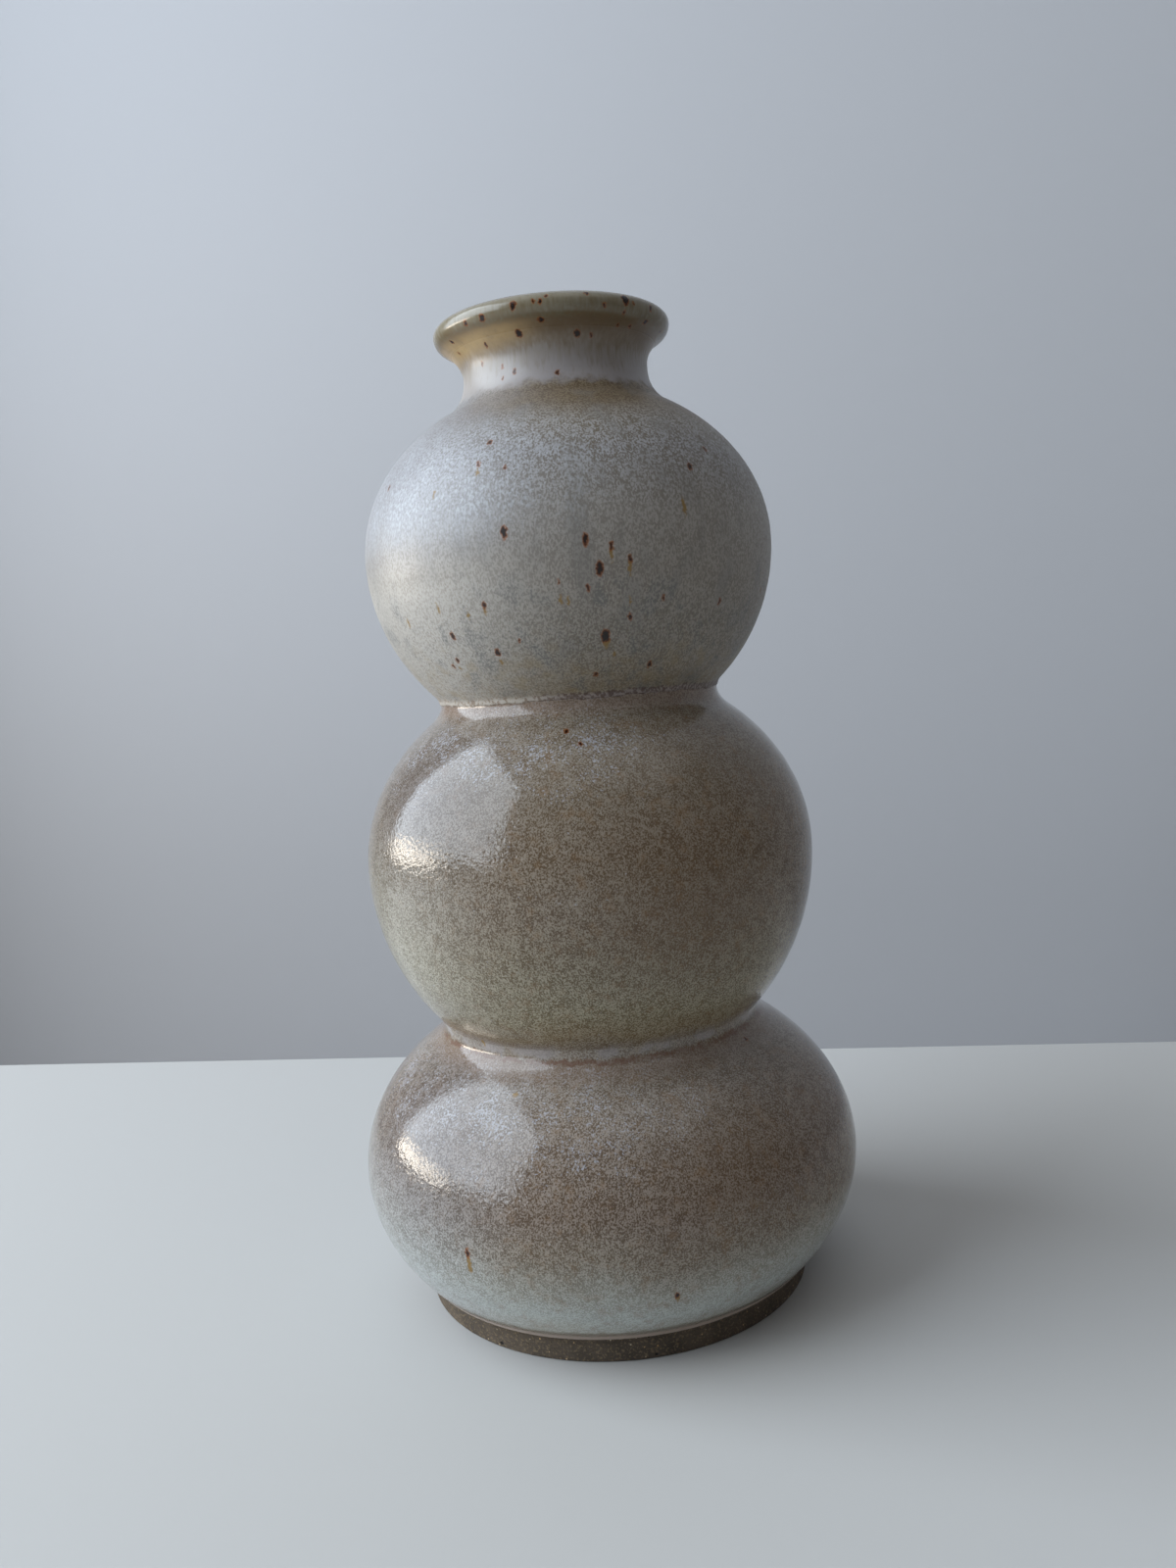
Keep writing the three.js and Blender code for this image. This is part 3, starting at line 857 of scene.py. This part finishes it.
    # Brown line and pale roll along the lower edge
    edge = look.math("ADD", look.from_edge(), look.math("MULTIPLY_ADD", look.noise(2.0), 1.6, -0.8))
    colour = look.mix(look.rise(edge, 6.4, 4.4, high=0.6), colour, tone(116, 98, 80))
    colour = look.mix(look.rise(edge, 3.8, 2.6), colour, tone(162, 146, 134))

    # Iron, and the relief of the surface
    colour = iron_runs(look, colour, runs)
    colour = iron_specks(look, colour, specks, SPECK_TALLNESS)
    coarser = look.levels(look.height, [(50, 1.0), (60, 0.3), (84, 0.3), (92, 1.0), (138, 1.0), (149, 0.3)])
    peel = look.bump(look.times(look.noise(GLOSS_PEEL, detail=2), coarser), GLOSS_PEEL_RELIEF)
    grain = look.bump(flecks, GLOSS_FLECK_RELIEF, peel)
    roughness = look.rise(look.noise(6.0), 0.3, 0.7, low=0.08, high=0.12)
    look.put(look.shader.inputs["IOR"], GLOSS_REFRACTION)
    return look.finish(colour, roughness, grain)


def satin_glaze(specks, lip_specks, runs):
    """Pale satin glaze, finely mottled: taupe on the shoulder, lilac white on the neck, olive on the lip."""
    look = Look("satin_glaze")
    # The left side, where the window lights the vase; the paler tones mixed in by it are painted light
    left = look.rise(look.across, 6.0, -38.0)
    clouds = look.noise(20, look.stretched(0.8), detail=3)
    wandering = look.math("ADD", look.height, look.math("MULTIPLY_ADD", clouds, 8.0, -4.0))
    dark = look.scale_of(wandering, [
        (174, tone(126, 111, 90)),
        (180, tone(120, 107, 90)),
        (188, tone(113, 104, 92)),
        (204, tone(123, 115, 106)),
        (220, tone(128, 122, 115)),
        (236, tone(106, 98, 89)),
        (244, tone(101, 90, 74)),
        (251, tone(88, 72, 53)),
    ])
    pale = look.scale_of(wandering, [
        (174, tone(152, 142, 124)),
        (188, tone(145, 138, 128)),
        (204, tone(149, 142, 133)),
        (220, tone(154, 149, 143)),
        (236, tone(154, 154, 157)),
        (244, tone(150, 147, 144)),
        (251, tone(125, 111, 90)),
    ])
    grain = look.noise(SATIN_GRAIN, look.stretched(0.6), detail=2, distortion=0.5)
    clumps = look.math("MULTIPLY_ADD", look.noise(2.2, look.stretched(0.6), detail=3), 0.3, -0.15)
    colour = look.mix(look.rise(look.sum(grain, clumps), 0.4, 0.6), dark, pale)

    # Grey upright streaks, and a paler left side, which is painted light on the side the window lights
    streaks = look.noise(7, look.stretched(0.35), detail=3)
    colour = look.mix(look.rise(streaks, 0.5, 0.72, high=0.45), colour, tone(118, 115, 111))
    soft = look.rise(grain, 0.3, 0.6, low=0.4, high=0.8)
    lit_low_left = look.times(left, look.rise(wandering, 216.0, 202.0), soft)
    colour = look.mix(lit_low_left, colour, tone(176, 172, 166))
    lit_high_left = look.times(left, look.rise(wandering, 206.0, 224.0), soft)
    colour = look.mix(lit_high_left, colour, tone(148, 149, 155))

    # Bluish snow on the shoulder's left, partly white crystals in the glaze and partly a painted sheen of the
    # window on the side it lights, and grey and ochre patches low down
    snow_height = look.times(look.rise(look.height, 212.0, 226.0), look.rise(look.height, 250.0, 240.0))
    snowy = look.sum(look.noise(0.7, look.stretched(0.6), detail=3), look.times(streaks, 0.4))
    snow_side = look.rise(look.across, 24.0, -16.0)
    snow_and_sheen = look.times(look.rise(snowy, 0.72, 0.86, high=0.45), snow_height, snow_side)
    colour = look.mix(snow_and_sheen, colour, tone(184, 188, 195))
    low_down = look.rise(look.height, 214.0, 196.0)
    grey = look.rise(look.noise(6, look.stretched(0.7), detail=4), 0.52, 0.66, high=0.5)
    greyer = look.times(grey, low_down, look.rise(grain, 0.6, 0.4, low=0.3))
    colour = look.mix(greyer, colour, tone(94, 98, 100))
    dots = look.rise(look.noise(0.55, look.stretched(0.7), detail=3), 0.57, 0.67, high=0.55)
    colour = look.mix(look.times(dots, look.rise(look.height, 206.0, 188.0)), colour, tone(86, 86, 84))
    ochre_clouds = look.rise(look.noise(5, detail=3), 0.5, 0.7, high=0.4)
    low_ochre = look.times(look.rise(look.height, 196.0, 178.0), ochre_clouds)
    colour = look.mix(low_ochre, colour, tone(138, 120, 84))

    # The neck above an irregular line, and the lip
    ragged = look.math("MULTIPLY_ADD", look.noise(4.0, detail=5), 6.0, -3.0)
    above = look.rise(look.math("ADD", look.height, ragged), 256.2, 259.0)
    fine_runs = look.noise(1.0, look.stretched(0.2), detail=3)
    drawn_down = look.sum(
        look.math("MULTIPLY_ADD", fine_runs, 9.0, -4.5),
        look.math("MULTIPLY_ADD", look.noise(9, detail=2), 6.0, -3.0),
    )
    up_the_neck = look.math("SUBTRACT", look.from_edge(), waist_distance)
    collar = look.scale_of(look.math("ADD", up_the_neck, drawn_down), [
        (-8, tone(144, 139, 140)),
        (-3, tone(148, 142, 141)),
        (1, tone(138, 130, 123)),
        (4, tone(123, 109, 92)),
        (7, tone(114, 97, 77)),
        (10, tone(110, 92, 69)),
        (12.5, tone(110, 99, 77)),
        (15, tone(122, 114, 96)),
        (21, tone(146, 140, 126)),
        (36, tone(142, 134, 120)),
    ])
    # Ochre on the flare's left: partly ochre glaze, partly painted warm light where the sunlit sill lights
    # that side
    flare_band = look.times(look.rise(up_the_neck, 2.0, 7.0), look.rise(up_the_neck, 12.0, 9.0))
    ochre_flow = look.rise(look.noise(5), 0.2, 0.6, low=0.5, high=0.8)
    ochre = look.times(flare_band, look.rise(look.across, 0.0, -16.0), ochre_flow)
    collar = look.mix(ochre, collar, tone(180, 153, 108))
    # Painted warm light on the lower neck's left, the side the window and sill light
    warm_lit_neck = look.times(left, look.rise(up_the_neck, 3.0, 0.0), 0.5)
    collar = look.mix(warm_lit_neck, collar, tone(156, 148, 138))
    collar = look.mix(look.rise(fine_runs, 0.5, 0.8, high=0.3), collar, tone(114, 102, 86))
    colour = look.mix(above, colour, collar)

    # The lower edge: purple brown mottled with lilac, and pale beads on the left, partly whitish glaze beads
    # and partly painted highlight on the side the window lights
    beads = look.noise(0.9, detail=3)
    edge = look.math("ADD", look.from_edge(), look.math("MULTIPLY_ADD", beads, 3.0, -1.5))
    seam = look.rise(edge, 2.6, 1.4, high=0.85)
    mottled = look.mix(look.rise(beads, 0.44, 0.6), tone(84, 64, 57), tone(140, 127, 123))
    # Pale beads with painted highlight, used on the lit left
    bright = look.mix(look.rise(beads, 0.4, 0.52), tone(128, 110, 94), tone(172, 164, 154))
    colour = look.mix(seam, colour, look.mix(look.rise(look.across, 0.0, -18.0), mottled, bright))

    # Iron, and the relief of the surface
    colour = iron_runs(look, colour, runs)
    colour = iron_specks(look, colour, lip_specks, LIP_SPECK_TALLNESS)
    colour = iron_specks(look, colour, specks, SPECK_TALLNESS)
    relief = look.bump(grain, SATIN_GRAIN_RELIEF)
    collar_roughness = look.levels(up_the_neck, [(3, 0.36), (11, 0.2)])
    roughness = look.mix(above, look.levels(grain, [(0.3, 0.48), (0.7, 0.4)]), collar_roughness)
    return look.finish(colour, roughness, relief)


def liner_glaze():
    """The glaze inside: creamy grey, paler and thicker towards the floor."""
    look = Look("liner_glaze")
    clouds = look.noise(18, detail=3)
    colour = look.scale_of(look.math("MULTIPLY_ADD", clouds, 30.0, look.height), [
        (20, tone(196, 194, 178)),
        (120, tone(176, 168, 150)),
        (255, tone(178, 170, 152)),
        (275, tone(148, 140, 126)),
    ])
    flecks = look.noise(1.2, detail=3)
    colour = look.mix(look.rise(flecks, 0.55, 0.7, high=0.5), colour, tone(140, 126, 106))
    relief = look.bump(look.noise(2.0), 0.04)
    return look.finish(colour, look.rise(clouds, 0.3, 0.7, low=0.22, high=0.32), relief)


def stoneware(name, ground, dark):
    """Bare fired clay: gritty and matt, with pale and ochre grog and a few black pits."""
    look = Look(name)
    clouds = look.noise(9, detail=4)
    colour = look.mix(look.rise(clouds, 0.3, 0.7), dark, ground)
    grit = look.noise(0.7, detail=4)
    colour = look.mix(look.rise(grit, 0.5, 0.66, high=0.6), colour, tone(128, 112, 88))
    distance, draw = look.cells(1.7)
    parts = look.node("ShaderNodeSeparateColor", Color=draw)
    grog = look.math("MULTIPLY", look.rise(distance, 0.17, 0.1), look.rise(parts.outputs["Red"], 0.6, 0.64))
    colour = look.mix(grog, colour, look.mix(parts.outputs["Blue"], tone(176, 138, 84), tone(196, 186, 166)))
    pit_distance, pit_draw = look.cells(5.0)
    pit_parts = look.node("ShaderNodeSeparateColor", Color=pit_draw)
    chosen = look.rise(pit_parts.outputs["Green"], 0.6, 0.64)
    pits = look.times(look.rise(pit_distance, 0.14, 0.08), chosen)
    colour = look.mix(pits, colour, tone(22, 18, 16))
    coarse = look.bump(grit, 0.3)
    relief = look.bump(look.math("SUBTRACT", 1.0, pits), 0.3, coarse)
    return look.finish(colour, look.rise(grit, 0.3, 0.7, low=0.82, high=0.96), relief)


def joining_slip():
    """Smooth slip that joins the sections, inside the wall."""
    look = Look("joining_slip")
    clouds = look.noise(4, detail=3)
    colour = look.mix(clouds, tone(104, 92, 80), tone(132, 120, 104))
    return look.finish(colour, look.rise(clouds, 0.3, 0.7, low=0.86, high=0.96), look.bump(clouds, 0.08))


# Iron specks and runs, read off the photograph: pixels across and down, and half width in millimetres
LIP_SPECKS = [
    (523, 312, 0.8), (492, 325, 0.8), (475, 330, 0.6), (552, 326, 0.8), (529, 340, 0.9), (589, 340, 0.8),
    (603, 342, 0.4), (638, 305, 1.1), (598, 299, 0.5), (664, 315, 0.5), (658, 329, 0.7), (630, 332, 0.4),
    (643, 333, 0.4), (637, 319, 0.4), (617, 311, 0.4), (551, 307, 0.5), (544, 307, 0.4), (557, 302, 0.4),
    (461, 349, 0.6), (496, 352, 0.5), (469, 361, 0.4), (513, 374, 0.4), (525, 379, 0.5), (569, 380, 0.5),
    (513, 386, 0.3), (492, 371, 0.4), (673, 339, 0.5),
]
UPPER_SPECKS = [
    (500, 451, 0.6), (488, 474, 0.45), (515, 477, 0.4), (397, 498, 0.4), (514, 543, 0.8), (597, 550, 0.75),
    (612, 580, 0.85), (624, 557, 0.5), (643, 570, 0.45), (600, 600, 0.4), (494, 618, 0.45), (462, 649, 0.6),
    (508, 666, 0.65), (467, 674, 0.45), (463, 680, 0.35), (618, 649, 1.1), (608, 688, 0.5), (663, 678, 0.6),
    (643, 629, 0.45), (677, 610, 0.35), (734, 614, 0.4), (776, 602, 0.35), (704, 476, 0.6), (719, 458, 0.4),
    (530, 654, 0.25), (570, 594, 0.25),
]
UPPER_RUNS = [
    (487, 482, 0.5), (443, 504, 0.4), (624, 564, 0.5), (643, 578, 0.5), (572, 612, 0.5), (580, 614, 0.4),
    (447, 621, 0.4), (478, 628, 0.4), (417, 636, 0.5), (643, 614, 0.4), (619, 655, 0.9), (512, 676, 0.5),
    (470, 682, 0.4), (627, 667, 0.4), (698, 517, 0.6), (495, 624, 0.4),
]
GLOSS_SPECKS = [(578, 746, 0.6), (592, 759, 0.5), (477, 1279, 0.6), (691, 1322, 0.5), (761, 1060, 0.5)]
GLOSS_RUNS = [(479, 1290, 0.7), (526, 1117, 0.7), (493, 1063, 0.6), (692, 1325, 0.5)]


# The room and its light

def plain_sheet(name, corners, colour, roughness):
    """A flat sheet of the room, with a faint unevenness in its paint."""
    mesh = bpy.data.meshes.new(name)
    mesh.from_pydata(corners, [], [(0, 1, 2, 3)])
    sheet = bpy.data.objects.new(name, mesh)
    bpy.context.scene.collection.objects.link(sheet)
    look = Look(name)
    shade = look.rise(look.noise(400, detail=2), 0.3, 0.7, low=0.96, high=1.0)
    painted = look.mix(1.0, colour, look.mix(shade, (0.9, 0.9, 0.9, 1), (1, 1, 1, 1)), blend="MULTIPLY")
    mesh.materials.append(look.finish(painted, roughness, look.bump(look.noise(3.0), 0.02)))


def room():
    """A pale table whose far edge lies as in the photograph, with a floor and a wall beyond it."""
    wide = FLOOR_HALF_SIZE
    drop = Vector((0, 0, -TABLE_HEIGHT))
    skew = Vector((wide, -wide * math.tan(TABLE_TURN), 0))
    table_back = Vector((0, TABLE_BACK, 0))
    far_left = table_back - skew
    far_right = table_back + skew
    table = [(-wide, -wide, 0), (wide, -wide, 0), far_right, far_left]
    plain_sheet("table", table, tone(*TABLE_TONE), TABLE_ROUGHNESS)
    edge = [far_left, far_right, far_right + drop, far_left + drop]
    plain_sheet("table_edge", edge, tone(*TABLE_TONE), TABLE_ROUGHNESS)
    low = -TABLE_HEIGHT
    floor = [(-wide, -wide, low), (wide, -wide, low), (wide, wide, low), (-wide, wide, low)]
    plain_sheet("floor", floor, tone(*FLOOR_TONE), TABLE_ROUGHNESS)
    side = Vector((math.cos(WALL_TURN), -math.sin(WALL_TURN), 0)) * WALL_HALF_WIDTH
    wall_foot = Vector((0, WALL_DISTANCE, low))
    top = Vector((0, 0, WALL_HEIGHT))
    wall = [wall_foot - side, wall_foot + side, wall_foot + side + top, wall_foot - side + top]
    plain_sheet("backdrop", wall, tone(*WALL_TONE), WALL_ROUGHNESS)


def panel_light(name, place, facing, size, radiance, colour):
    """A rectangle of light. Its radiance is how bright it looks, with 1 for white paper in full light."""
    data = bpy.data.lights.new(name, "AREA")
    data.shape = "RECTANGLE"
    data.size, data.size_y = size
    data.energy = radiance * math.pi * size[0] * size[1]
    data.color = colour
    light = bpy.data.objects.new(name, data)
    light.location = place
    light.rotation_euler = Vector(facing).to_track_quat("-Z", "Y").to_euler()
    light.visible_camera = False
    bpy.context.scene.collection.objects.link(light)


def lights():
    panel_light("window", WINDOW_PLACE, TO_THE_RIGHT, WINDOW_SIZE, WINDOW_RADIANCE, WINDOW_COLOUR)
    panel_light("sunlit_sill", SILL_PLACE, TO_THE_RIGHT, SILL_SIZE, SILL_RADIANCE, SILL_COLOUR)
    panel_light("ceiling", CEILING_PLACE, DOWNWARD, CEILING_SIZE, CEILING_RADIANCE, CEILING_COLOUR)
    world = bpy.data.worlds.new("room")
    bpy.context.scene.world = world
    world.use_nodes = True
    background = world.node_tree.nodes["Background"]
    background.inputs["Color"].default_value = ROOM_COLOUR
    background.inputs["Strength"].default_value = ROOM_STRENGTH
    bpy.context.scene.view_settings.view_transform = "Standard"


# Everything in place

photo_camera()
room()
lights()

pieces = {
    "gloss_glaze": gloss_coat(),
    "satin_glaze": satin_coat(),
    "liner_glaze": liner_coat(),
    "foot_ring": foot(),
    "lower_bulb": lower_section(),
}
satin = pieces["satin_glaze"]
gloss = pieces["gloss_glaze"]
belly = satin_line[satin_line[:, 1] < fillet_foot]
crest = lip[np.argmax(lip[:, 0]):]
flare = lip[:np.argmax(lip[:, 0])]
gloss_line = throat[throat[:, 1] < satin_edge]

# Marks in front are where the photograph has them, and those elsewhere are strewn
gloss_specks = marks_on(gloss, GLOSS_SPECKS)
gloss_specks += strewn(gloss_line, count=7, seed=5, largest=0.7, turns=BACK)
gloss_runs = marks_on(gloss, GLOSS_RUNS)
gloss_runs += strewn(gloss_line, count=4, seed=6, largest=0.6, turns=BACK)
upper_specks = marks_on(satin, UPPER_SPECKS)
upper_specks += strewn(belly, count=26, seed=7, largest=1.1, turns=BACK)
upper_runs = marks_on(satin, UPPER_RUNS)
upper_runs += strewn(belly, count=12, seed=8, largest=0.7, turns=BACK)
lip_specks = marks_on(satin, LIP_SPECKS)
lip_specks += strewn(flare, count=20, seed=9, largest=0.9, turns=BACK)
lip_specks += strewn(crest, count=34, seed=10, largest=0.9, turns=ALL_ROUND)

looks = {
    "gloss_glaze": gloss_glaze(gloss_specks, gloss_runs),
    "satin_glaze": satin_glaze(upper_specks, lip_specks, upper_runs),
    "liner_glaze": liner_glaze(),
    "bare_clay": stoneware("bare_clay", tone(86, 75, 63), tone(64, 55, 46)),
    "thrown_clay": stoneware("thrown_clay", tone(118, 106, 92), tone(96, 84, 72)),
    "slip": joining_slip(),
}
slots = {row["node"]: row["material_slot"] for row in frame["record"]["subparts"]}

for node, piece in pieces.items():
    piece.data.materials.append(looks[slots[node]])
    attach(piece, "root")
    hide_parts(node)

for node, solid in frame["nodes"].items():
    solid.data.materials.clear()
    solid.data.materials.append(looks[slots[node]])
